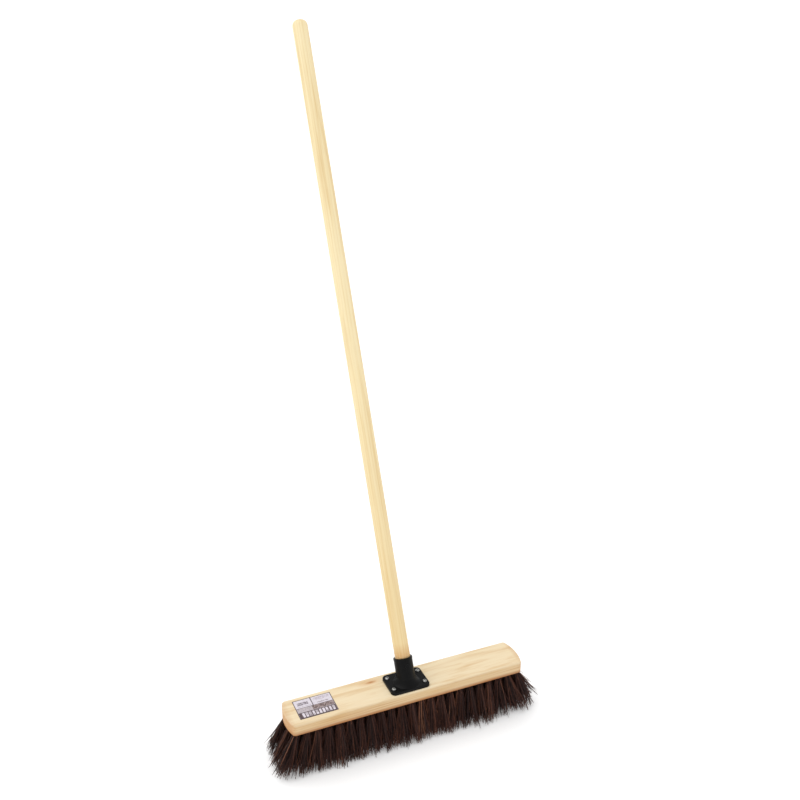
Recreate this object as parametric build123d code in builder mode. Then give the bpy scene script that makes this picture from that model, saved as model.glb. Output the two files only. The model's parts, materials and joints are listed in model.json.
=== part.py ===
"""Push broom: round wooden handle in an angled socket, screwed to a wide wooden
stock that is filled with five rows of stiff plant-fibre tufts.

Frame, in mm: origin at the centre of the sweeping face, X along the stock,
+Y the way the handle leans, +Z up.
"""

import os
from math import atan, cos, degrees, hypot, radians, sin, tan

from build123d import *

# ---- stock -------------------------------------------------------------
stock_length = 457.0
stock_width = 69.0
stock_thick = 23.0
end_bulge = 7.0  # how far each end bows out beyond its corners
corner_radius = 6.0
top_edge_radius = 3.0
bottom_edge_radius = 0.8
web_above_holes = 10.0  # solid wood between the tuft holes and the top face

# ---- tufts -------------------------------------------------------------
bristle_out = 84.0  # from the stock's underside to the sweeping face
row_total = 5
row_margin = 8.5  # from the stock's side to the outer row
end_margin = 12.5  # from the stock's end to the last tuft, at least
tuft_pitch = 19.6
hole_diameter = 7.8
neck_clearance = 0.3  # between the held fibres and the hole's wall
tip_radius = 7.9
tip_gap = 2.8  # least space between two tufts at the sweeping face
row_splay = 0.23  # outward travel of a row, as a share of its distance from the middle
end_splay = 24.0  # outward travel of the last tufts, at the sweeping face
end_free = 0.35  # share of the half length, from the middle, with no travel along the stock
end_power = 3.5

# ---- anchors that hold the folded tufts --------------------------------
anchor_bite = 0.8  # how far each end goes into the wood beside the hole
anchor_width = 2.0
anchor_thick = 0.6
anchor_back = 2.8  # from the hole's blind end

# ---- handle ------------------------------------------------------------
handle_diameter = 28.0
handle_length = 1205.0
handle_dome = 10.5
handle_lean = 24.4  # degrees from upright
foot_chamfer = 0.6
spigot_step = 0.2  # the end held in the socket is turned down this much, all round
shoulder_gap = 0.6  # between the tube's rim and the shoulder above it

# ---- socket ------------------------------------------------------------
plate_thick = 5.4
plate_corner = 8.5
plate_edge_radius = 1.4
plate_side = 20.25  # flange beyond the tube, at each end
plate_front = 8.85  # flange beyond the tube's slanted outline, front and back
plate_shift = -3.5  # flange centre from the stock's middle line
axis_shift = -5.0  # where the handle's axis meets the stock's top, from the flange centre
bore_clearance = 0.3
tube_wall = 2.9
tube_grip = 40.0  # length of handle held in the tube
tube_floor = 3.2  # least height of the handle's lower end above the stock
rim_lip = 0.4
rim_height = 4.0
flare_height = 15.0
flare_side = 8.5  # spread of the tube's foot over the flange
flare_front = 4.9

# ---- fixings -----------------------------------------------------------
screw_inset_x = 7.25  # from the flange's edges
screw_inset_y = 11.5
screw_head_diameter = 7.8
screw_head_height = 2.7
screw_diameter = 3.8
screw_tip_cover = 1.2  # wood between a screw's point and the tuft holes
screw_point = 3.0
recess_length = 4.2
recess_depth = 1.4
recess_slot = 0.9
pilot_clearance = 0.1
pin_turn = 0.0  # degrees round the tube, from the front towards +X
pin_drop = 14.5  # below the tube's rim
pin_head_diameter = 6.6
pin_head_height = 1.8
pin_sunk = 0.2
pin_diameter = 3.2
pin_length = 11.0

# ---- label -------------------------------------------------------------
label_length = 70.0
label_width = 50.0
label_thick = 0.2
label_margin = 22.0  # from the stock's -X end
label_y = 0.5

cut_over = 1.0  # how far a cut runs past the face it opens

# ---- sizes that follow from the ones above -----------------------------
lean = radians(handle_lean)
stock_bottom = bristle_out
stock_top = bristle_out + stock_thick

hole_depth = stock_thick - web_above_holes
neck_radius = hole_diameter / 2 - neck_clearance
anchor_length = hole_diameter + 2 * anchor_bite
anchor_depth = hole_depth - anchor_back
row_pitch = (stock_width - 2 * row_margin) / (row_total - 1)
row_y = [(i - (row_total - 1) / 2) * row_pitch for i in range(row_total)]
long_count = int((stock_length - 2 * end_margin) / tuft_pitch) + 1
row_count = [long_count - i % 2 for i in range(row_total)]
row_span = (long_count - 1) / 2 * tuft_pitch
tip_spacing = min(tuft_pitch, hypot(tuft_pitch / 2, row_pitch * (1 + row_splay)))
spread_radius = min(tip_radius, (tip_spacing - tip_gap) / 2)
tuft_flare = degrees(atan((spread_radius - neck_radius) / bristle_out))

spigot_diameter = handle_diameter - 2 * spigot_step
tube_bore = spigot_diameter + 2 * bore_clearance
tube_diameter = tube_bore + 2 * tube_wall
tube_depth = tube_diameter / cos(lean)  # the slanted tube's outline on a level plane
plate_length = tube_diameter + 2 * plate_side
plate_width = tube_depth + 2 * plate_front
handle_foot = (tube_floor + spigot_diameter / 2 * sin(lean)) / cos(lean)
tube_top = handle_foot + tube_grip
pin_height = tube_top - pin_drop
axis_dir = Vector(0, sin(lean), cos(lean))
axis_foot = Vector(0, plate_shift + axis_shift, stock_top)

screw_dx = plate_length / 2 - screw_inset_x
screw_dy = plate_width / 2 - screw_inset_y
screw_length = plate_thick + web_above_holes - screw_tip_cover
label_x = -stock_length / 2 + label_margin + label_length / 2


def axis_plane(along):
    """The plane square to the handle's axis, this far up from the stock's top."""
    return Plane(origin=axis_foot + axis_dir * along, x_dir=(1, 0, 0), z_dir=axis_dir)


def tuft_columns(count):
    return [(i - (count - 1) / 2) * tuft_pitch for i in range(count)]


def end_share(x):
    """A tuft's share of the last tuft's outward travel: none in the middle, 1 at the end."""
    return (max(0, abs(x) / row_span - end_free) / (1 - end_free)) ** end_power


def tuft_plane(x, y):
    """The plane at a tuft's hole, with its normal running down the fibres."""
    side = 1 if x >= 0 else -1
    run = Vector(side * end_splay * end_share(x), row_splay * y, -bristle_out)
    return Plane(origin=(x, y, stock_bottom), x_dir=(0, 1, 0), z_dir=run)


def tuft_planes(y, count):
    return [tuft_plane(x, y) for x in tuft_columns(count)]


def socket_screw_spots():
    return [
        (sx * screw_dx, plate_shift + sy * screw_dy) for sx in (-1, 1) for sy in (-1, 1)
    ]


def pin_plane():
    """The plane square to the handle's retaining screw, where its head meets the tube's face."""
    turn = radians(pin_turn)
    front = Vector(0, -cos(lean), sin(lean))
    out = front * cos(turn) + Vector(1, 0, 0) * sin(turn)
    origin = axis_foot + axis_dir * pin_height + out * (tube_diameter / 2)
    return Plane(origin=origin, x_dir=axis_dir, z_dir=out)


def save(part, name):
    part.label = name
    export_step(part, "parts/" + name + ".step")


os.makedirs("parts", exist_ok=True)

# ---- stock: plan outline with bowed ends, blind tuft holes and pilot holes
with BuildPart() as stock:
    with BuildSketch(Plane.XY.offset(stock_bottom)):
        with BuildLine():
            half_x = stock_length / 2 - end_bulge
            half_y = stock_width / 2
            Line((-half_x, half_y), (half_x, half_y))
            ThreePointArc((half_x, half_y), (half_x + end_bulge, 0), (half_x, -half_y))
            Line((half_x, -half_y), (-half_x, -half_y))
            ThreePointArc(
                (-half_x, -half_y), (-half_x - end_bulge, 0), (-half_x, half_y)
            )
        make_face()
    extrude(amount=stock_thick)
    fillet(stock.edges().filter_by(Axis.Z), radius=corner_radius)
    fillet(stock.faces().sort_by(Axis.Z)[-1].edges(), radius=top_edge_radius)
    fillet(stock.faces().sort_by(Axis.Z)[0].edges(), radius=bottom_edge_radius)
    for y, count in zip(row_y, row_count):
        mouths = tuft_planes(y, count)
        with BuildSketch(*[mouth.offset(-hole_depth) for mouth in mouths]):
            Circle(hole_diameter / 2)
        extrude(amount=hole_depth + hole_diameter / 2, mode=Mode.SUBTRACT)
        with BuildSketch(*[mouth.offset(-anchor_depth) for mouth in mouths]):
            Rectangle(anchor_length, anchor_width)
        extrude(amount=-anchor_thick, mode=Mode.SUBTRACT)
    with Locations([(x, y, stock_top) for x, y in socket_screw_spots()]):
        Hole(
            screw_diameter / 2 + pilot_clearance,
            depth=screw_length - plate_thick + 4 * pilot_clearance,
        )
save(stock.part, "stock")

# ---- tufts: one node a row, each tuft held in its hole and flaring to the sweeping face
for number, (y, count) in enumerate(zip(row_y, row_count), start=1):
    mouths = tuft_planes(y, count)
    with BuildPart() as tufts:
        held = hole_depth - neck_clearance
        with BuildSketch(*[mouth.offset(-held) for mouth in mouths]):
            Circle(neck_radius)
        extrude(amount=held)
        with BuildSketch(*mouths):
            Circle(neck_radius)
        extrude(amount=bristle_out * 1.2, taper=-tuft_flare)
        with BuildSketch(*[mouth.offset(-anchor_depth) for mouth in mouths]):
            Rectangle(anchor_length, anchor_width)
        extrude(amount=-anchor_thick, mode=Mode.SUBTRACT)
        split(bisect_by=Plane.XY, keep=Keep.TOP)
    save(tufts.part, "tufts_row_" + str(number))

# ---- anchors: flat strips that pinch each folded tuft and bite into the wood
for number, (y, count) in enumerate(zip(row_y, row_count), start=1):
    with BuildPart() as anchors:
        with BuildSketch(*[m.offset(-anchor_depth) for m in tuft_planes(y, count)]):
            Rectangle(anchor_length, anchor_width)
        extrude(amount=-anchor_thick)
    save(anchors.part, "anchors_row_" + str(number))

# ---- socket: rounded flange, flared foot and angled tube with a blind bore
with BuildPart() as socket:
    with BuildSketch(Plane.XY.offset(stock_top)):
        with Locations((0, plate_shift)):
            RectangleRounded(plate_length, plate_width, plate_corner)
    extrude(amount=plate_thick)
    fillet(socket.faces().sort_by(Axis.Z)[-1].edges(), radius=plate_edge_radius)
    for rise, grow in ((0.0, 1.0), (0.27, 0.42), (1.0, -0.04)):
        level = plate_thick - 0.4 + rise * flare_height
        with BuildSketch(Plane.XY.offset(stock_top + level)):
            with Locations((0, axis_foot.Y + level * tan(lean))):
                Ellipse(
                    tube_diameter / 2 + grow * flare_side,
                    tube_depth / 2 + grow * flare_front,
                )
    loft()
    with BuildSketch(axis_plane(handle_foot)):
        Circle(tube_diameter / 2)
    extrude(amount=tube_grip)
    with BuildSketch(axis_plane(tube_top - rim_height)):
        Circle(tube_diameter / 2 + rim_lip)
    extrude(amount=rim_height)
    fillet(socket.edges().sort_by(SortBy.DISTANCE, reverse=True)[0:1], radius=0.8)
    with BuildSketch(axis_plane(handle_foot)):
        Circle(tube_bore / 2)
    extrude(amount=tube_grip + cut_over, mode=Mode.SUBTRACT)
    with Locations([(x, y, stock_top + plate_thick) for x, y in socket_screw_spots()]):
        Hole(screw_diameter / 2 + bore_clearance, depth=plate_thick + cut_over)
    with BuildSketch(pin_plane().offset(cut_over)):
        Circle(pin_diameter / 2 + 2 * pilot_clearance)
    extrude(amount=-tube_wall - 4 * cut_over, mode=Mode.SUBTRACT)
    with BuildSketch(pin_plane().offset(cut_over)):
        Circle(pin_head_diameter / 2 + 2 * pilot_clearance)
    extrude(amount=-cut_over - pin_head_height - pilot_clearance, mode=Mode.SUBTRACT)
save(socket.part, "socket")

# ---- handle: round bar, turned-down foot, domed top, pilot hole for its retaining screw
with BuildPart() as handle:
    spigot_length = tube_grip + shoulder_gap
    with BuildSketch(axis_plane(handle_foot)):
        Circle(spigot_diameter / 2)
    extrude(amount=spigot_length)
    with BuildSketch(axis_plane(handle_foot + spigot_length)):
        Circle(handle_diameter / 2)
    extrude(amount=handle_length - spigot_length)
    fillet(
        handle.edges().sort_by(Axis.Z)[-1],
        radius=min(handle_dome, handle_diameter / 2 - 1.5),
    )
    chamfer(handle.edges().sort_by(Axis.Z)[0], length=foot_chamfer)
    with BuildSketch(pin_plane()):
        Circle(pin_diameter / 2 + pilot_clearance)
    extrude(amount=-pin_head_height - pin_length - 4 * pilot_clearance, mode=Mode.SUBTRACT)
save(handle.part, "handle")

# ---- four domed screws with cross recesses, through the flange into the stock
with BuildPart() as socket_screws:
    seats = [Plane((x, y, stock_top + plate_thick)) for x, y in socket_screw_spots()]
    with BuildSketch(*seats):
        Circle(screw_head_diameter / 2)
    extrude(amount=screw_head_height)
    fillet(
        socket_screws.edges().group_by(Axis.Z)[-1], radius=screw_head_height - 0.4
    )
    with BuildSketch(*[seat.offset(screw_head_height) for seat in seats]):
        Rectangle(recess_length, recess_slot)
        Rectangle(recess_slot, recess_length)
    extrude(amount=-recess_depth, mode=Mode.SUBTRACT)
    with BuildSketch(*seats):
        Circle(screw_diameter / 2)
    extrude(amount=-screw_length)
    chamfer(
        socket_screws.edges().group_by(Axis.Z)[0],
        length=screw_point,
        length2=screw_diameter / 2 - 0.3,
    )
save(socket_screws.part, "socket_screws")

# ---- the handle's retaining screw, sunk in the front of the tube
with BuildPart() as handle_screw:
    with BuildSketch(pin_plane().offset(-pin_sunk)):
        Circle(pin_head_diameter / 2)
    extrude(amount=pin_sunk - pin_head_height)
    with BuildSketch(pin_plane().offset(-pin_sunk)):
        Rectangle(recess_slot, recess_length)
        Rectangle(recess_length, recess_slot)
    extrude(amount=-recess_slot, mode=Mode.SUBTRACT)
    with BuildSketch(pin_plane().offset(-pin_head_height)):
        Circle(pin_diameter / 2)
    extrude(amount=-pin_length)
    inward = Axis(pin_plane().origin, pin_plane().z_dir)
    chamfer(
        handle_screw.faces().sort_by(inward)[0].edges(),
        length=pin_diameter / 2 - 0.3,
    )
save(handle_screw.part, "handle_screw")

# ---- label on the top face, near the -X end
with BuildPart() as label:
    with BuildSketch(Plane.XY.offset(stock_top)):
        with Locations((label_x, label_y)):
            RectangleRounded(label_length, label_width, 0.8)
    extrude(amount=label_thick)
save(label.part, "label")
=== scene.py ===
"""Looks of the push broom: loose plant fibres in place of the plain CAD tufts, pale pine
on the stock and handle, a satin black socket, bright screws and a plain printed label.

Metres, in the CAD frame: origin at the centre of the sweeping face, X along the stock,
+Y the way the handle leans, +Z up.
"""

import json
import math

import bpy
import numpy as np
from mathutils import Matrix, Vector


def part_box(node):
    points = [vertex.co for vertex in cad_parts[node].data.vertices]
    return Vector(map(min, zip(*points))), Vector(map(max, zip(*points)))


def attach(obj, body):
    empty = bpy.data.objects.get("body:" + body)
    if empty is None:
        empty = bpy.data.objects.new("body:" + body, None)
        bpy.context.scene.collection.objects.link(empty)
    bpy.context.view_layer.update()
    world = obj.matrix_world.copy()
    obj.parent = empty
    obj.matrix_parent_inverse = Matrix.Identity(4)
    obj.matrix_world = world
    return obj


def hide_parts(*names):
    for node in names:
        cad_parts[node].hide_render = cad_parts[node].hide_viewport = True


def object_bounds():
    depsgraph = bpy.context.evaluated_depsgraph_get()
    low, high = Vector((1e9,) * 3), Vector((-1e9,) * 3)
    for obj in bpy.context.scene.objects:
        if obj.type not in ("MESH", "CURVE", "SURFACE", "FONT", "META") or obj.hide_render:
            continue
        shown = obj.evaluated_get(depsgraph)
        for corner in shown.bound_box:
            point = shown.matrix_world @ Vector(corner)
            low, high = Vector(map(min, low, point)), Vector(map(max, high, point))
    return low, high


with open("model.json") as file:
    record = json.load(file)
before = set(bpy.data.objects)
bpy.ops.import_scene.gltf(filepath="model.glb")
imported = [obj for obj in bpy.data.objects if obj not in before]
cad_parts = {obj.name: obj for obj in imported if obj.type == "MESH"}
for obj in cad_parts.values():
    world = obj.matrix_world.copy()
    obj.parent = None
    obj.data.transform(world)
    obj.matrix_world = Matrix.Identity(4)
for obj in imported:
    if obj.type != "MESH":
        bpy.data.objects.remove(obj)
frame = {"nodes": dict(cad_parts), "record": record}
cad_low, cad_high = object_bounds()
scene = bpy.context.scene
MM = 0.001

stock_low, stock_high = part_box("stock")
label_low, label_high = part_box("label")
socket_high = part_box("socket")[1]
handle_grip = next(m for m in frame["record"]["mounts"] if m["name"] == "handle_grip")
handle_lean = math.asin(handle_grip["axis"][1])  # from upright
ROWS = [f"tufts_row_{number}" for number in range(1, 6)]

# ---- fibres ------------------------------------------------------------
SEED = 9100
TUFT_GAP = 2.5 * MM  # neighbouring CAD tufts lie further apart than this
HELD_DEPTH = 7 * MM  # the CAD tufts' vertices above this depth belong to the held end
TIP_HEIGHT = 0.2 * MM
LOCKS = 13  # small bundles in each tuft whose tips draw together
LOCK_STRANDS = 12
SECTORS = 10  # round the tuft, so that a lock's strands lie side by side
STRAND_SIDES = 3
STRAND_RADIUS = (0.38 * MM, 0.74 * MM)
ROOT_RADIUS = 3.4 * MM
ROOT_DEPTH = 2.0 * MM  # how far a strand starts inside its hole
EARLY_FAN = 0.165  # sideways run for each metre down, at the tuft's rim
LATE_FAN = 0.125
LOCK_PULL = 0.22  # how far a strand's tip moves towards its lock's middle
LEAN = 0.044
LOCK_LEAN = 0.046
TUFT_LEAN = 0.042
TUFT_LEAN_SHARE = np.array([1.0, 0.4, 0.0])  # less across the stock than along it
USUAL_LENGTH = 0.992  # as a share of the way to the floor
MOST_LENGTH = 1.003
LENGTH_SPREAD = 0.016
LOCK_LENGTH_SPREAD = 0.014
SHORT_SHARE = 0.10
SHORT_LENGTH = (0.74, 0.95)
STRAY_SHARE = 0.045
STRAY_LEAN = 0.26
STRAY_LEAN_RANGE = (0.4, 1)  # as shares of that lean
# how far all the fibres of the last tufts lean out, for the rows from front to back
END_FAN = {-1: (0.12, 0.20, 0.22, 0.16, 0.05), 1: (0.03, 0.03, 0.03, 0.03, 0.03)}
END_MOST_LEAN = {-1: 0.34, 1: 0.66}
END_STRAY_SHARE = 0.36  # of the last tuft's strands
END_STRAY_LEAN = {-1: (0.02, 0.30), 1: (0.10, 0.66)}  # by the end of the stock, -X and +X
END_STRAY_LENGTH = (0.62, 1.0)
END_STRAY_POWER = 14  # how quickly the strays die out away from the stock's end
END_FAN_POWER = 7
EARLY_LEAN_SHARE = 0.40  # of a strand's lean that shows in its first half
EARLY_END_SHARE = 0.35
LEAN_SLACK = 1.012  # how far a leaning strand may outgrow an upright one
WAVE = 1.5 * MM
SECOND_WAVE = 0.6  # as a share of the first
SECOND_WAVE_TURNS = 1.35
TAPER = np.array([1, 1, 1, 0.98, 0.95, 0.88, 0.5])  # one share of the radius for each ring
STRAND_TONE = (1.5, 3.6)  # shape of the spread of tones, from 0, dark, to 1, light
TUFT_TONE_SPREAD = 0.05
LOCK_TONE_SPREAD = 0.07


def runs_of(values, gap):
    """(low, high) of each run of values that lie closer together than gap."""
    values = np.sort(values)
    cuts = np.where(np.diff(values) > gap)[0]
    starts = np.concatenate([[0], cuts + 1])
    ends = np.concatenate([cuts, [len(values) - 1]])
    return [(values[a], values[b]) for a, b in zip(starts, ends)]


def tuft_lines(node):
    """(centre of the held end, centre of the tip) of each tuft in a CAD row."""
    co = np.array([v.co for v in frame["nodes"][node].data.vertices])
    held = co[co[:, 2] > stock_low.z + HELD_DEPTH]
    tips = co[co[:, 2] < cad_low.z + TIP_HEIGHT]
    lines = []
    for (h0, h1), (t0, t1) in zip(runs_of(held[:, 0], TUFT_GAP), runs_of(tips[:, 0], TUFT_GAP)):
        head = held[(held[:, 0] >= h0) & (held[:, 0] <= h1)]
        foot = tips[(tips[:, 0] >= t0) & (tips[:, 0] <= t1)]
        lines.append(
            ((head.min(0) + head.max(0)) / 2, (foot.min(0) + foot.max(0)) / 2)
        )
    return lines


def strand_mesh(name, paths, radii, tones):
    """One mesh of thin tapering strands. paths is (strand, ring, xyz)."""
    count, rings, _ = paths.shape
    along = np.gradient(paths, axis=1)
    along /= np.linalg.norm(along, axis=2, keepdims=True)
    aside = np.array([0.31, 0.95, 0.02])  # no strand runs this way
    side = np.cross(along, aside)
    side /= np.linalg.norm(side, axis=2, keepdims=True)
    other = np.cross(along, side)
    turn = np.linspace(0, 2 * math.pi, STRAND_SIDES, endpoint=False)
    wall = (
        side[:, :, None, :] * np.cos(turn)[None, None, :, None]
        + other[:, :, None, :] * np.sin(turn)[None, None, :, None]
    )
    co = paths[:, :, None, :] + wall * radii[:, :, None, None]
    ring_verts = co.reshape(count, rings * STRAND_SIDES, 3)
    per = rings * STRAND_SIDES
    faces = []
    for r in range(rings - 1):
        for s in range(STRAND_SIDES):
            n = (s + 1) % STRAND_SIDES
            a, b = r * STRAND_SIDES, (r + 1) * STRAND_SIDES
            faces.append((a + s, a + n, b + n, b + s))
    caps = [
        tuple(range(STRAND_SIDES))[::-1],
        tuple(range(per - STRAND_SIDES, per)),
    ]
    quads = np.array(faces)[None] + (np.arange(count) * per)[:, None, None]
    ends = np.array(caps)[None] + (np.arange(count) * per)[:, None, None]
    mesh = bpy.data.meshes.new(name)
    mesh.from_pydata(
        ring_verts.reshape(-1, 3).tolist(),
        [],
        quads.reshape(-1, 4).tolist() + ends.reshape(-1, STRAND_SIDES).tolist(),
    )
    tone = mesh.attributes.new("fibre_tone", "FLOAT", "POINT")
    tone.data.foreach_set("value", np.repeat(tones, per).astype(np.float32))
    run = mesh.attributes.new("fibre_run", "FLOAT", "POINT")
    share = np.tile(np.repeat(np.linspace(0, 1, rings), STRAND_SIDES), count)
    run.data.foreach_set("value", share.astype(np.float32))
    mesh.shade_smooth()
    mesh.update()
    obj = bpy.data.objects.new(name, mesh)
    scene.collection.objects.link(obj)
    return obj


def row_of_fibres(number, node):
    """Every tuft of one row as separate bent strands that leave the hole and fan out."""
    rng = np.random.default_rng(SEED + number)
    lines = tuft_lines(node)
    last = max(abs(head[0]) for head, _ in lines)
    reach_down = stock_low.z - cad_low.z
    n = LOCKS * LOCK_STRANDS
    t = np.linspace(0, 1, len(TAPER))[None, :, None]
    paths, radii, tones = [], [], []
    for head, foot in lines:
        down = (foot - head) / (head[2] - foot[2])  # falls 1 for each step
        mouth = head + down * (head[2] - stock_low.z)
        angle = rng.uniform(0, 2 * math.pi, n)
        out = np.sqrt(rng.uniform(0, 1, n))
        ring = np.stack([np.cos(angle), np.sin(angle), np.zeros(n)], 1) * out[:, None]
        ring = ring[np.argsort(np.round(angle * SECTORS / (2 * math.pi)) + out)]
        locks = ring.reshape(LOCKS, LOCK_STRANDS, 3)
        middle = np.repeat(locks.mean(1), LOCK_STRANDS, 0)
        drawn = ring + (middle - ring) * LOCK_PULL
        start = mouth + ring * ROOT_RADIUS - down * ROOT_DEPTH
        level = np.array([1.0, 1.0, 0.0])
        lean = rng.normal(0, LEAN, (n, 3)) * level
        lean += np.repeat(rng.normal(0, LOCK_LEAN, (LOCKS, 3)), LOCK_STRANDS, 0) * level
        lean += rng.normal(0, TUFT_LEAN, 3) * TUFT_LEAN_SHARE
        early = down + ring * EARLY_FAN + lean * EARLY_LEAN_SHARE
        late = down + drawn * LATE_FAN + lean
        stray = rng.uniform(0, 1, n) < STRAY_SHARE
        late += ring * (STRAY_LEAN * stray * rng.uniform(*STRAY_LEAN_RANGE, n))[:, None]
        # the fibres at the stock's ends also bend outwards, some of them strongly
        at_end = (abs(head[0]) / last) ** END_STRAY_POWER
        flung = rng.uniform(0, 1, n) < END_STRAY_SHARE * at_end
        end = -1 if head[0] < 0 else 1
        sideways = rng.uniform(*END_STRAY_LEAN[end], n) * flung * end
        sideways += END_FAN[end][number - 1] * (abs(head[0]) / last) ** END_FAN_POWER * end
        sideways = np.clip(sideways, -END_MOST_LEAN[-1], END_MOST_LEAN[1])
        late[:, 0] += sideways
        early[:, 0] += sideways * EARLY_END_SHARE
        # all fibres are about as long, so one that leans more ends higher up
        step = early + late
        size = reach_down + ROOT_DEPTH
        lengths = USUAL_LENGTH + rng.normal(0, LENGTH_SPREAD, n)
        lengths += np.repeat(rng.normal(0, LOCK_LENGTH_SPREAD, LOCKS), LOCK_STRANDS)
        short = rng.uniform(0, 1, n) < SHORT_SHARE
        lengths = np.where(short, rng.uniform(*SHORT_LENGTH, n), lengths)
        lengths *= np.minimum(1, 2 / np.linalg.norm(step, axis=1) * LEAN_SLACK)
        lengths = np.where(flung, lengths * rng.uniform(*END_STRAY_LENGTH, n), lengths)
        lengths = np.minimum(lengths, MOST_LENGTH)
        first = start + early * (size / 2 * lengths)[:, None]
        tip = first + late * (size / 2 * lengths)[:, None]
        path = (
            start[:, None] * (1 - t) ** 2
            + first[:, None] * 2 * t * (1 - t)
            + tip[:, None] * t**2
        )
        bow = rng.normal(0, WAVE, (n, 1, 3)) * level
        bend = rng.normal(0, WAVE * SECOND_WAVE, (n, 1, 3)) * level
        path = path + bow * np.sin(math.pi * t)
        path = path + bend * np.sin(2 * math.pi * SECOND_WAVE_TURNS * t) * t
        thick = rng.uniform(*STRAND_RADIUS, n)
        paths.append(path)
        radii.append(thick[:, None] * TAPER[None, :])
        tone = rng.beta(*STRAND_TONE, n) + rng.normal(0, TUFT_TONE_SPREAD)
        tone += np.repeat(rng.normal(0, LOCK_TONE_SPREAD, LOCKS), LOCK_STRANDS)
        tones.append(np.clip(tone, 0, 1))
    piece = strand_mesh(
        f"fibres_row_{number}",
        np.concatenate(paths),
        np.concatenate(radii),
        np.concatenate(tones),
    )
    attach(piece, "root")
    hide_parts(node)
    return piece


# ---- material helpers --------------------------------------------------
class Nodes:
    """A short way to write a material's node tree."""

    def __init__(self, name):
        self.material = bpy.data.materials.new(name)
        self.material.use_nodes = True
        self.tree = self.material.node_tree
        self.tree.nodes.clear()
        self.output = self.tree.nodes.new("ShaderNodeOutputMaterial")
        self.shader = self.tree.nodes.new("ShaderNodeBsdfPrincipled")
        self.link(self.shader.outputs[0], self.output.inputs["Surface"])

    def link(self, out, into):
        self.tree.links.new(out, into)

    def feed(self, socket, value):
        if isinstance(value, bpy.types.NodeSocket):
            self.link(value, socket)
        elif value is not None:
            socket.default_value = value

    def coords(self):
        return self.tree.nodes.new("ShaderNodeTexCoord").outputs["Object"]

    def attribute(self, name):
        node = self.tree.nodes.new("ShaderNodeAttribute")
        node.attribute_name = name
        return node.outputs["Fac"]

    def maths(self, operation, a, b=None, c=None, clamp=False):
        node = self.tree.nodes.new("ShaderNodeMath")
        node.operation = operation
        node.use_clamp = clamp
        for socket, value in zip(node.inputs, (a, b, c)):
            self.feed(socket, value)
        return node.outputs[0]

    def length(self, a, b):
        squares = self.maths("ADD", self.maths("MULTIPLY", a, a), self.maths("MULTIPLY", b, b))
        return self.maths("SQRT", squares)

    def axes(self, vector):
        node = self.tree.nodes.new("ShaderNodeSeparateXYZ")
        self.link(vector, node.inputs[0])
        return node.outputs

    def vector(self, x, y, z):
        node = self.tree.nodes.new("ShaderNodeCombineXYZ")
        for socket, value in zip(node.inputs, (x, y, z)):
            self.feed(socket, value)
        return node.outputs[0]

    def mapping(self, vector, scale, rotation=(0, 0, 0), location=(0, 0, 0)):
        node = self.tree.nodes.new("ShaderNodeMapping")
        self.link(vector, node.inputs["Vector"])
        node.inputs["Location"].default_value = location
        node.inputs["Rotation"].default_value = rotation
        node.inputs["Scale"].default_value = scale
        return node.outputs[0]

    def noise(self, vector, scale, detail=3.0, rough=0.5):
        node = self.tree.nodes.new("ShaderNodeTexNoise")
        self.link(vector, node.inputs["Vector"])
        node.inputs["Scale"].default_value = scale
        node.inputs["Detail"].default_value = detail
        node.inputs["Roughness"].default_value = rough
        return node.outputs["Fac"]

    def ramp(self, fac, stops):
        node = self.tree.nodes.new("ShaderNodeValToRGB")
        self.link(fac, node.inputs["Fac"])
        elements = node.color_ramp.elements
        while len(elements) < len(stops):
            elements.new(0.5)
        for element, (at, colour) in zip(elements, stops):
            element.position = at
            element.color = (*colour, 1)
        return node.outputs["Color"]

    def grey(self, fac, low, high, to_low=0.0, to_high=1.0):
        node = self.tree.nodes.new("ShaderNodeMapRange")
        self.feed(node.inputs["Value"], fac)
        node.inputs["From Min"].default_value = low
        node.inputs["From Max"].default_value = high
        node.inputs["To Min"].default_value = to_low
        node.inputs["To Max"].default_value = to_high
        return node.outputs[0]

    def mix(self, fac, a, b):
        node = self.tree.nodes.new("ShaderNodeMix")
        node.data_type = "RGBA"
        self.feed(node.inputs[0], fac)
        self.feed(node.inputs[6], (*a, 1) if isinstance(a, tuple) else a)
        self.feed(node.inputs[7], (*b, 1) if isinstance(b, tuple) else b)
        return node.outputs[2]

    def bump(self, height, strength, distance):
        node = self.tree.nodes.new("ShaderNodeBump")
        self.link(height, node.inputs["Height"])
        node.inputs["Strength"].default_value = strength
        node.inputs["Distance"].default_value = distance
        self.link(node.outputs[0], self.shader.inputs["Normal"])

    def set(self, **inputs):
        for name, value in inputs.items():
            self.feed(self.shader.inputs[name.replace("_", " ")], value)
        return self.material


def srgb(r, g, b):
    """An 8-bit screen colour as the linear colour that a shader takes."""
    return tuple(
        c / 255 / 12.92 if c / 255 <= 0.04045 else ((c / 255 + 0.055) / 1.055) ** 2.4
        for c in (r, g, b)
    )


def fibre_material():
    m = Nodes("plant_fibre")
    tone, run = m.attribute("fibre_tone"), m.attribute("fibre_run")
    fleck = m.noise(m.mapping(m.coords(), (900, 900, 60)), 1.0, 2.0)
    value = m.maths("ADD", tone, m.grey(fleck, 0.3, 0.7, -0.10, 0.10), clamp=True)
    colour = m.ramp(
        value,
        [
            (0.00, srgb(27, 13, 11)),
            (0.28, srgb(56, 28, 21)),
            (0.52, srgb(86, 51, 39)),
            (0.76, srgb(120, 75, 54)),
            (1.00, srgb(150, 106, 78)),
        ],
    )
    dusty = m.grey(run, 0.80, 1.0, 0.0, 0.16)
    m.bump(fleck, 0.35, 0.2 * MM)
    return m.set(
        Base_Color=m.mix(dusty, colour, srgb(128, 80, 56)),
        Roughness=m.grey(fleck, 0.3, 0.7, 0.45, 0.65),
        Specular_IOR_Level=0.22,
    )


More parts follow.
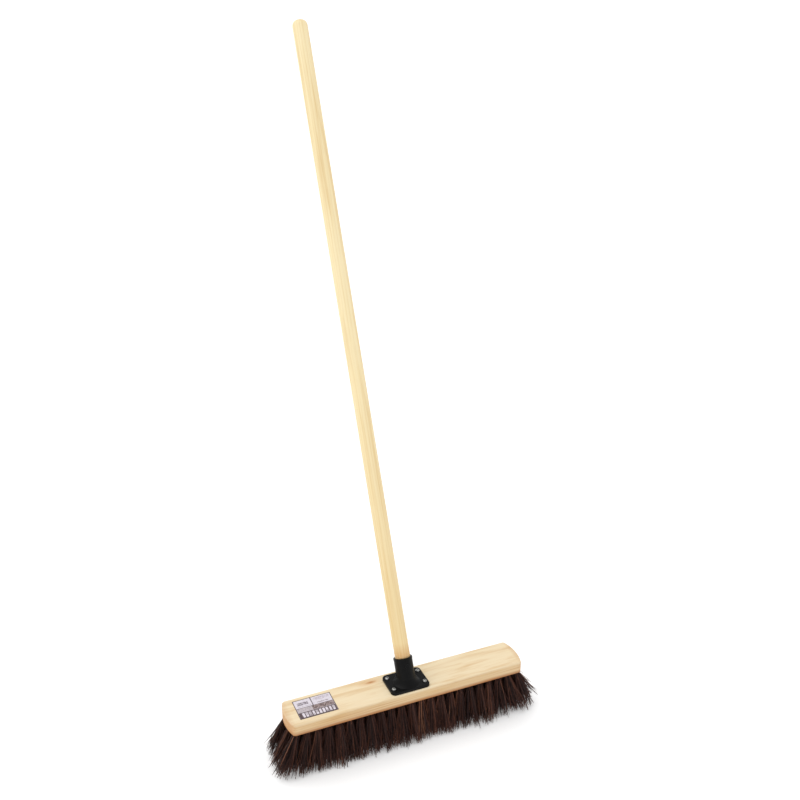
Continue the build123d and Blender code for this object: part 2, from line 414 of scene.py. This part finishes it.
def pine(name, grain_of, tones, rings, streaks, knot=None, edge=None):
    """Pale softwood. grain_of gives coordinates whose X runs with the grain."""
    light, mid, dark = tones
    m = Nodes(name)
    grain = grain_of(m)
    x, y, z = m.axes(grain)
    sway = m.noise(m.mapping(grain, (3.0, 7, 7)), 1.0, 2.0)
    sway = m.maths("MULTIPLY_ADD", sway, rings["sway"], -rings["sway"] / 2)
    # growth rings about a pith that lies outside the piece
    off_y = m.maths("ADD", m.maths("ADD", y, rings["pith"][0]), sway)
    off_z = m.maths("ADD", z, rings["pith"][1])
    radius = m.length(off_y, off_z)
    fine = m.noise(m.mapping(grain, (16, 520, 520)), 1.0, 3.0, 0.6)
    if knot:
        along = m.maths("DIVIDE", m.maths("SUBTRACT", x, knot["at"][0]), knot["size"][0])
        across = m.maths("DIVIDE", m.maths("SUBTRACT", y, knot["at"][1]), knot["size"][1])
        near = m.length(along, across)
        swirl = m.grey(near, 0.0, 3.0, 1.0, 0.0)
        radius = m.maths("MULTIPLY_ADD", m.maths("MULTIPLY", swirl, swirl), 7 * MM, radius)
    ring = m.maths("FRACT", m.maths("DIVIDE", radius, rings["pitch"]))
    # a ring darkens slowly through the year, then ends
    late = m.maths("POWER", ring, 2.2)
    late = m.maths("MULTIPLY", late, m.grey(ring, 0.84, 1.0, 1.0, 0.0))
    patchy = m.noise(m.mapping(grain, (7, 40, 40)), 1.0, 2.0)
    late = m.maths("MULTIPLY", late, m.grey(patchy, 0.32, 0.68, rings["least"], rings["most"]))
    streak = m.noise(m.mapping(grain, streaks["scale"], streaks["turn"]), 1.0, 3.0, 0.55)
    colour = m.mix(m.grey(fine, 0.3, 0.75, 0.0, 0.6), light, mid)
    colour = m.mix(late, colour, dark)
    colour = m.mix(m.grey(streak, 0.50, 0.74, 0.0, streaks["amount"]), colour, dark)
    pale = m.grey(streak, 0.26, 0.46, 0.7, 0.0)
    colour = m.mix(pale, colour, light)
    if knot:
        halo = m.grey(near, 0.3, 2.2, 0.45, 0.0)
        colour = m.mix(halo, colour, srgb(214, 160, 98))
        core = m.grey(near, 0.1, 0.9, 0.9, 0.0)
        colour = m.mix(core, colour, srgb(186, 122, 66))
    if edge:
        colour = edge(m, colour, fine)
    m.bump(m.maths("MULTIPLY_ADD", late, 0.5, fine), 0.30, 0.25 * MM)
    return m.set(
        Base_Color=colour,
        Roughness=m.grey(fine, 0.3, 0.7, 0.52, 0.68),
        Specular_IOR_Level=0.25,
    )


def socket_material():
    m = Nodes("moulded_black")
    here = m.coords()
    pebble = m.noise(here, 1500, 2.0)
    cloud = m.noise(here, 45, 3.0)
    colour = m.ramp(cloud, [(0.3, srgb(8, 8, 9)), (0.7, srgb(14, 14, 14))])
    rough = m.grey(cloud, 0.3, 0.7, 0.30, 0.42)
    rough = m.maths("ADD", rough, m.grey(pebble, 0.3, 0.7, -0.03, 0.05))
    m.bump(pebble, 0.22, 0.10 * MM)
    return m.set(Base_Color=colour, Roughness=rough, Specular_IOR_Level=0.12)


def metal_material(name, low, high, rough):
    m = Nodes(name)
    here = m.coords()
    mottle = m.noise(here, 900, 3.0)
    scuff = m.noise(m.mapping(here, (400, 3000, 3000)), 1.0, 2.0)
    m.bump(scuff, 0.15, 0.05 * MM)
    return m.set(
        Base_Color=m.ramp(mottle, [(0.3, low), (0.7, high)]),
        Metallic=1.0,
        Roughness=m.grey(scuff, 0.3, 0.7, *rough),
    )


def label_material():
    """Plain printed panels: outline, two pale boxes, a speckled row and a dark band of blocks."""
    m = Nodes("printed_label")
    x, y, _ = m.axes(m.coords())
    u = m.grey(x, label_low.x, label_high.x)
    v = m.grey(y, label_low.y, label_high.y)

    def inside(value, low, high):
        above = m.maths("GREATER_THAN", value, low)
        return m.maths("MULTIPLY", above, m.maths("LESS_THAN", value, high))

    def patch(u0, u1, v0, v1):
        return m.maths("MULTIPLY", inside(u, u0, u1), inside(v, v0, v1))

    def cells(wide, high, shift):
        cell = m.tree.nodes.new("ShaderNodeTexWhiteNoise")
        cell.noise_dimensions = "2D"
        step_u = m.maths("FLOOR", m.maths("MULTIPLY_ADD", u, wide, shift))
        step_v = m.maths("FLOOR", m.maths("MULTIPLY", v, high))
        m.link(m.vector(step_u, step_v, 0.0), cell.inputs["Vector"])
        return cell.outputs["Value"]

    paper = srgb(226, 220, 228)
    ink = srgb(78, 62, 64)
    colour = m.mix(m.grey(m.noise(m.coords(), 260, 2.0), 0.3, 0.7), paper, srgb(212, 204, 214))
    outline = m.maths("SUBTRACT", 1.0, patch(0.018, 0.982, 0.025, 0.975))
    colour = m.mix(outline, colour, ink)
    divider = patch(0.452, 0.475, 0.55, 1.0)
    colour = m.mix(divider, colour, ink)
    # faint marks: panel, cells across and up and their shift, how they fade in, tint
    marks = (
        ((0.08, 0.37, 0.70, 0.84), (34, 30, 0.3), (0.15, 0.6, 0.25, 0.90), (98, 84, 92)),
        ((0.08, 0.42, 0.60, 0.65), (60, 50, 0.9), (0.30, 0.7, 0.10, 0.50), (140, 128, 134)),
        ((0.58, 0.88, 0.62, 0.68), (50, 60, 0.7), (0.30, 0.6, 0.20, 0.70), (124, 108, 114)),
        ((0.52, 0.94, 0.78, 0.92), (36, 26, 0.1), (0.30, 0.7, 0.10, 0.55), (160, 146, 158)),
    )
    for panel, grid, fade, tint in marks:
        share = m.maths("MULTIPLY", patch(*panel), m.grey(cells(*grid), *fade))
        colour = m.mix(share, colour, srgb(*tint))
    middle = patch(0.02, 0.98, 0.34, 0.56)
    speckle = m.ramp(cells(64, 22, 0.0), [(0.2, srgb(96, 76, 74)), (0.8, srgb(168, 150, 148))])
    lighter = m.maths("MULTIPLY", inside(u, 0.0, 0.42), 0.45)
    colour = m.mix(middle, colour, m.mix(lighter, speckle, paper))
    rule = patch(0.02, 0.98, 0.545, 0.565)
    colour = m.mix(rule, colour, ink)
    band = patch(0.02, 0.98, 0.025, 0.33)
    colour = m.mix(band, colour, srgb(86, 68, 71))
    bar = m.maths("FRACT", m.maths("MULTIPLY", u, 11.5))
    blocks = m.maths("MULTIPLY", patch(0.09, 0.95, 0.06, 0.29), inside(bar, 0.13, 0.86))
    blocks = m.maths("MULTIPLY", blocks, m.grey(cells(23, 7, 0.5), 0.1, 0.6, 0.35, 1.0))
    colour = m.mix(blocks, colour, srgb(222, 214, 222))
    fibre = m.noise(m.mapping(m.coords(), (600, 900, 900)), 1.0, 2.0)
    m.bump(fibre, 0.12, 0.05 * MM)
    return m.set(Base_Color=colour, Roughness=0.42, Specular_IOR_Level=0.45)


def give(node, material):
    obj = frame["nodes"][node]
    obj.data.materials.clear()
    obj.data.materials.append(material)


# ---- materials on the CAD nodes ----------------------------------------
def stock_grain(m):
    """Part coordinates measured from the middle of the stock's top face."""
    return m.mapping(m.coords(), (1, 1, 1), location=(0, 0, -stock_high.z))


def handle_grain(m):
    """Part coordinates turned so that X runs up the handle."""
    x, y, z = m.axes(m.coords())
    rise, run = math.cos(handle_lean), math.sin(handle_lean)
    up = m.maths("MULTIPLY_ADD", z, rise, m.maths("MULTIPLY", y, run))
    over = m.maths("MULTIPLY_ADD", z, -run, m.maths("MULTIPLY", y, rise))
    return m.vector(up, x, over)


def stock_edge(m, colour, fine):
    """The planed sides are yellower than the top and darkened with painted shade; a painted brown
    shade lies along the lower edge above the bristles, and the ends are browner.
    """
    x, _, z = m.axes(m.coords())
    # painted shade: the sides are tinted darker and yellower than the top, as faces turned from
    # the light; the yellow is partly the planed side grain
    side = m.grey(z, stock_high.z - 4.5 * MM, stock_high.z - 0.5 * MM, 1.0, 0.0)
    colour = m.mix(side, colour, m.mix(0.55, colour, srgb(208, 168, 112)))
    stripe = m.noise(m.mapping(m.coords(), (5, 60, 420)), 1.0, 2.0, 0.6)
    stripe = m.maths("MULTIPLY", side, m.grey(stripe, 0.50, 0.66, 0.0, 0.55))
    colour = m.mix(stripe, colour, srgb(190, 138, 84))
    # painted shade: a brown darkening over the lowest few millimetres of the stock, just above
    # the bristles
    low = m.grey(z, stock_low.z + 1.5 * MM, stock_low.z + 8 * MM, 1.0, 0.0)
    low = m.maths("MULTIPLY", low, m.grey(fine, 0.25, 0.75, 0.65, 1.0))
    colour = m.mix(low, colour, srgb(164, 98, 46))
    end = m.grey(m.maths("ABSOLUTE", x), stock_high.x - 12 * MM, stock_high.x - 3 * MM, 0.0, 0.8)
    end = m.maths("MULTIPLY", end, m.grey(fine, 0.25, 0.75, 0.4, 1.0))
    end = m.maths("MULTIPLY", end, m.grey(side, 0.0, 1.0, 0.55, 1.0))
    return m.mix(end, colour, srgb(196, 138, 82))


def handle_edge(m, colour, fine):
    """Warmer towards the socket, and browner just above its rim."""
    along = m.axes(handle_grain(m))[0]
    rim = math.cos(handle_lean) * socket_high.z  # about where the rim lies, along the handle
    up = m.maths("SUBTRACT", along, rim)
    colour = m.mix(m.grey(up, 0.0, 0.60, 0.45, 0.0), colour, srgb(228, 194, 132))
    # browner just above the socket's rim, where handle and socket meet
    brown_by_rim = m.maths(
        "MULTIPLY",
        m.grey(up, 0.004, 0.026, 0.7, 0.0),
        m.grey(fine, 0.25, 0.7, 0.5, 1.0),
    )
    return m.mix(brown_by_rim, colour, srgb(206, 150, 92))


give(
    "stock",
    pine(
        "pine_stock",
        stock_grain,
        (srgb(240, 223, 190), srgb(232, 208, 166), srgb(214, 176, 122)),
        {"pith": (0.012, 0.085), "pitch": 6.4 * MM, "sway": 46 * MM, "least": 0.05, "most": 0.75},
        {"scale": (11, 95, 95), "turn": (0, 0, math.radians(6)), "amount": 0.65},
        knot={"at": (-59 * MM, 21.5 * MM), "size": (14 * MM, 4.6 * MM)},
        edge=stock_edge,
    ),
)
give(
    "handle",
    pine(
        "pine_handle",
        handle_grain,
        (srgb(252, 236, 194), srgb(244, 222, 168), srgb(218, 180, 114)),
        {"pith": (0.03, 0.035), "pitch": 4.4 * MM, "sway": 12 * MM, "least": 0.10, "most": 0.55},
        {"scale": (5, 150, 150), "turn": (0, 0, 0), "amount": 0.55},
        edge=handle_edge,
    ),
)
give("socket", socket_material())
zinc = metal_material("zinc_plate", srgb(138, 138, 136), srgb(184, 184, 180), (0.28, 0.42))
give("socket_screws", zinc)
black = metal_material("blackened_steel", srgb(26, 26, 27), srgb(44, 44, 45), (0.38, 0.52))
give("handle_screw", black)
give("label", label_material())
steel = metal_material("bare_steel", srgb(160, 160, 158), srgb(190, 190, 188), (0.30, 0.45))
for row in range(1, len(ROWS) + 1):
    give(f"anchors_row_{row}", steel)

# ---- fibres in place of the CAD tufts ----------------------------------
bassine = fibre_material()
for number, node in enumerate(ROWS, start=1):
    row_of_fibres(number, node).data.materials.append(bassine)

# ---- floor, light and camera -------------------------------------------
FLOOR = 400.0  # half its side
floor_mesh = bpy.data.meshes.new("floor")
floor_mesh.from_pydata(
    [(-FLOOR, -FLOOR, 0), (FLOOR, -FLOOR, 0), (FLOOR, FLOOR, 0), (-FLOOR, FLOOR, 0)],
    [],
    [(0, 1, 2, 3)],
)
floor = bpy.data.objects.new("floor", floor_mesh)
scene.collection.objects.link(floor)
floor.location.z = cad_low.z - 0.5 * MM
white = Nodes("pale_floor")
floor_mesh.materials.append(
    white.set(
        Base_Color=(0.95, 0.95, 0.95, 1),
        Roughness=0.9,
        Emission_Color=(1.0, 1.0, 1.0, 1),
        Emission_Strength=0.20,
    )
)

world = bpy.data.worlds.new("studio")
scene.world = world
world.use_nodes = True
sky = world.node_tree.nodes["Background"]
sky.inputs["Color"].default_value = (1, 1, 1, 1)
sky.inputs["Strength"].default_value = 0.80

sun_data = bpy.data.lights.new("softbox", "SUN")
sun_data.energy = 0.95
sun_data.angle = math.radians(55)
sun = bpy.data.objects.new("softbox", sun_data)
sun.rotation_euler = Vector((0.30, -0.22, -1.0)).to_track_quat("-Z", "Y").to_euler()
scene.collection.objects.link(sun)

CAMERA_AT = Vector((-0.5931, -1.3461, 1.2732))
CAMERA_TURN = (22.643, -23.352, 0.19)  # pitch, yaw and roll, in degrees
camera_data = bpy.data.cameras.new("camera")
camera_data.sensor_width = 36.0
camera_data.lens = 44.81
camera = bpy.data.objects.new("camera", camera_data)
pitch, yaw, roll = (math.radians(angle) for angle in CAMERA_TURN)
back = Vector(
    (math.sin(yaw) * math.cos(pitch), -math.cos(yaw) * math.cos(pitch), math.sin(pitch))
)
right = Vector((math.cos(yaw), math.sin(yaw), 0))
up = back.cross(right)
camera_turn = Matrix.Rotation(roll, 3, back) @ Matrix((right, up, back)).transposed()
camera.matrix_world = Matrix.LocRotScale(CAMERA_AT, camera_turn, Vector((1, 1, 1)))
camera_data.clip_start = 0.05
camera_data.clip_end = 1200
scene.collection.objects.link(camera)
scene.camera = camera
scene.view_settings.view_transform = "Standard"
